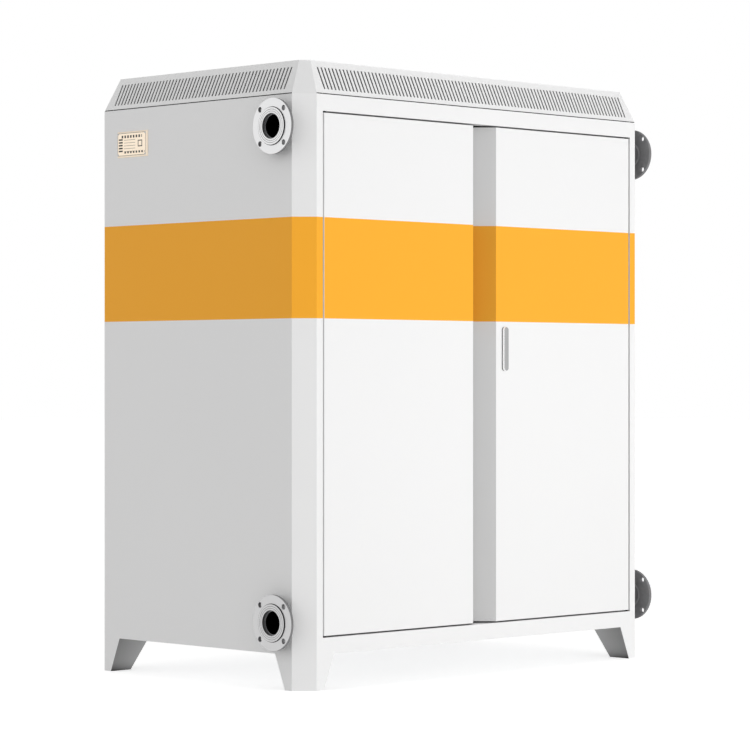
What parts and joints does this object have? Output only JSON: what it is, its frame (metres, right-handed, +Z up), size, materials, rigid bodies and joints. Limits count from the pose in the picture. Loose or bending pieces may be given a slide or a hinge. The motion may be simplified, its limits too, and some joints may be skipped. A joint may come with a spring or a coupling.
{
  "type": "industrial boiler",
  "caption": "Floor-standing industrial boiler in a white sheet-metal cabinet with an orange band, twin doors, a slotted sloping crown and flanged pipe ends on both sides.",
  "frame": {"origin": "on the floor, under the middle of the cabinet", "axes": "+Z up, the doors face -Y, the side with the nameplate faces -X"},
  "size_m": [1.592, 0.94, 1.8],
  "materials": {
    "cabinet_paint": "satin powder coat, white, with an orange band round the body",
    "galvanised_steel": "galvanised sheet",
    "flange_steel": "turned, matt",
    "pipe_steel": "drawn tube, matt",
    "vessel_jacket": "smooth jacket, satin",
    "handle_metal": "satin chrome",
    "plate_enamel": "cream enamel, bare",
    "pin_steel": "turned",
    "baffle_coat": "matt black, heat resistant"
  },
  "bodies": {
    "cabinet": {"front_left_post": "cabinet_paint", "front_right_post": "cabinet_paint", "rear_left_post": "cabinet_paint", "rear_right_post": "cabinet_paint", "left_side_panel": "cabinet_paint", "right_side_panel": "cabinet_paint", "back_panel": "cabinet_paint", "front_bottom_rail": "cabinet_paint", "front_top_rail": "cabinet_paint", "crown_front": "cabinet_paint", "crown_back": "cabinet_paint", "crown_left": "cabinet_paint", "crown_right": "cabinet_paint", "crown_front_left": "cabinet_paint", "crown_front_right": "cabinet_paint", "crown_rear_left": "cabinet_paint", "crown_rear_right": "cabinet_paint", "crown_top": "cabinet_paint", "crown_baffle": "baffle_coat", "base_pan": "galvanised_steel", "nameplate": "plate_enamel", "upper_left_flange": "flange_steel", "upper_left_stub": "pipe_steel", "upper_left_branch": "pipe_steel", "upper_right_flange": "flange_steel", "upper_right_stub": "pipe_steel", "upper_right_branch": "pipe_steel", "upper_manifold": "pipe_steel", "lower_left_flange": "flange_steel", "lower_left_stub": "pipe_steel", "lower_left_branch": "pipe_steel", "lower_right_flange": "flange_steel", "lower_right_stub": "pipe_steel", "lower_right_branch": "pipe_steel", "lower_manifold": "pipe_steel", "heating_cylinder_1": "vessel_jacket", "heating_cylinder_2": "vessel_jacket", "heating_cylinder_3": "vessel_jacket"},
    "left_door": {"left_door": "cabinet_paint", "left_door_liner": "galvanised_steel", "left_door_pins": "pin_steel"},
    "right_door": {"right_door": "cabinet_paint", "right_door_liner": "galvanised_steel", "right_door_pins": "pin_steel", "door_handle": "handle_metal"}
  },
  "joints": [
    {"name": "left_door_hinge", "type": "hinge", "parent": "cabinet", "child": "left_door", "pos_m": [-0.6645, -0.459, 0.9], "axis": [0, 0, -1], "range_deg": [0, 105]},
    {"name": "right_door_hinge", "type": "hinge", "parent": "cabinet", "child": "right_door", "pos_m": [0.6645, -0.459, 0.9], "axis": [0, 0, 1], "range_deg": [0, 105]}
  ]
}
